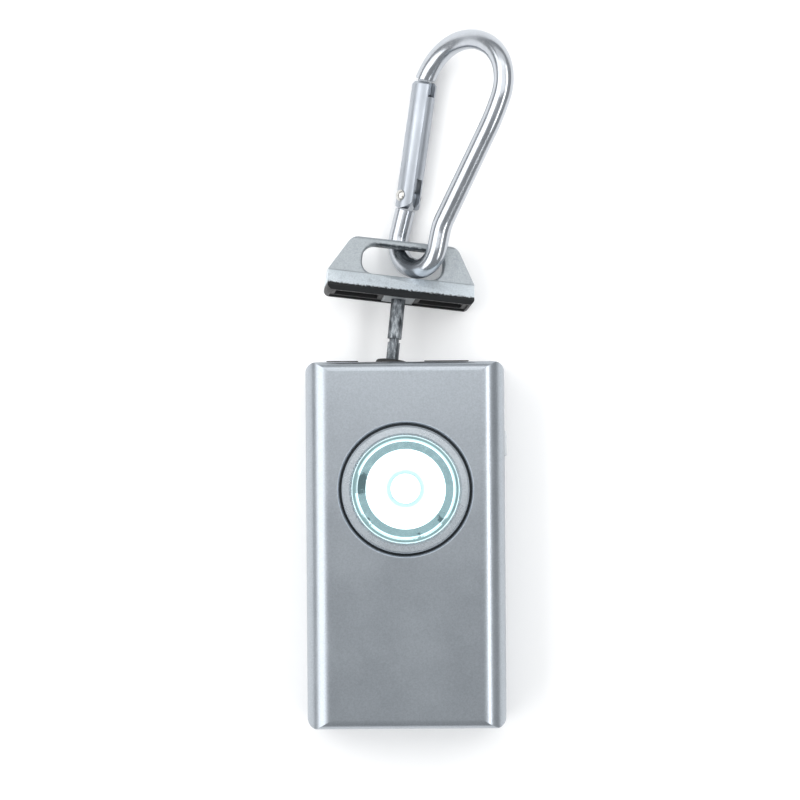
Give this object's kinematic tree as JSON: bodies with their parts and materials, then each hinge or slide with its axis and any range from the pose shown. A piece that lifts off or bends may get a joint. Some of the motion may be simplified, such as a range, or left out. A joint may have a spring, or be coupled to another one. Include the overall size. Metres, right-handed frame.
{
  "type": "keychain flashlight",
  "caption": "Pocket light with a pull pin in its top end, a slotted pull cap on the pin and a pear carabiner through the slot.",
  "frame": {"origin": "centre of the housing's back face, on which the light lies", "axes": "+Z out of the lens, +Y towards the pin end, +X to the side with the button"},
  "size_m": [0.037, 0.1232, 0.0181],
  "materials": {
    "satin_silver": "satin silver paint over moulded plastic",
    "bezel_silver": "satin silver paint over moulded plastic",
    "lens_clear": "clear",
    "mirror_cup": "vacuum-plated",
    "led_epoxy": "clear epoxy, lit",
    "board_green": "solder mask",
    "component_black": "matt",
    "black_plastic": "matt",
    "black_rubber": "matt",
    "pale_silicone": "translucent",
    "button_white": "translucent",
    "brass": "plain",
    "contact_steel": "nickel-plated",
    "screw_steel": "plated",
    "pin_steel": "blackened, worn",
    "cap_silver": "fine speckled silver paint",
    "hub_grey": "matt",
    "wire_aluminium": "polished",
    "gate_aluminium": "satin"
  },
  "bodies": {
    "housing": {"front_shell": "satin_silver", "rear_shell": "satin_silver", "bezel_ring": "bezel_silver", "lens": "lens_clear", "lens_gasket": "pale_silicone", "reflector": "mirror_cup", "led": "led_epoxy", "main_board": "board_green", "driver_parts": "component_black", "tact_switch": "component_black", "pin_guide_plate": "black_plastic", "pin_socket": "black_plastic", "contact_leaves": "contact_steel", "sounder_ring": "black_plastic", "sounder_disc": "brass", "battery_tray": "black_plastic", "coin_cells": "contact_steel", "battery_spring": "contact_steel", "battery_contact": "contact_steel", "housing_screws": "screw_steel"},
    "battery_door": {"battery_door": "satin_silver"},
    "button": {"side_button": "button_white", "switch_plunger": "black_plastic"},
    "grommet": {"pin_grommet": "black_rubber"},
    "pull_cap": {"pull_pin": "pin_steel", "cap_shell": "cap_silver", "cap_insert": "black_plastic", "pin_hub": "hub_grey"},
    "carabiner": {"carabiner_frame": "wire_aluminium", "gate_rivet": "contact_steel"},
    "gate": {"gate": "gate_aluminium", "gate_plunger": "contact_steel", "gate_spring": "contact_steel"}
  },
  "joints": [
    {"name": "pin_lean", "type": "hinge", "parent": "housing", "child": "grommet", "pos_m": [-0.00235, 0.0312, 0.008], "axis": [-0.6404, 0.4621, -0.6135], "range_deg": [-10.55, 2.46]},
    {"name": "pin_pull", "type": "slide", "parent": "grommet", "child": "pull_cap", "axis": [0.1072, 0.9867, -0.1219], "range_m": [-0.01075, 0.0025]},
    {"name": "carabiner_swing", "type": "hinge", "parent": "pull_cap", "child": "carabiner", "pos_m": [0, 0.05286, 0.00532], "axis": [0.9901, -0.1172, -0.0779], "range_deg": [-95, 45]},
    {"name": "gate_open", "type": "hinge", "parent": "carabiner", "child": "gate", "pos_m": [0.00093, 0.0617, 0.00253], "axis": [0.7025, -0.1051, -0.7039], "range_deg": [0, 28], "stiffness_Nm_per_rad": 0.02, "springref_deg": -17.19},
    {"name": "side_button_press", "type": "slide", "parent": "housing", "child": "button", "axis": [-1, 0, 0], "range_m": [0, 0.0004], "stiffness_N_per_m": 1500, "springref_m": -0.0003},
    {"name": "battery_door_slide", "type": "slide", "parent": "housing", "child": "battery_door", "axis": [0, -1, 0], "range_m": [0, 0.0255]}
  ],
  "couplings": [
    {"joint": "pin_lean", "follows": "pin_pull", "rad_per_m": 17.106}
  ]
}
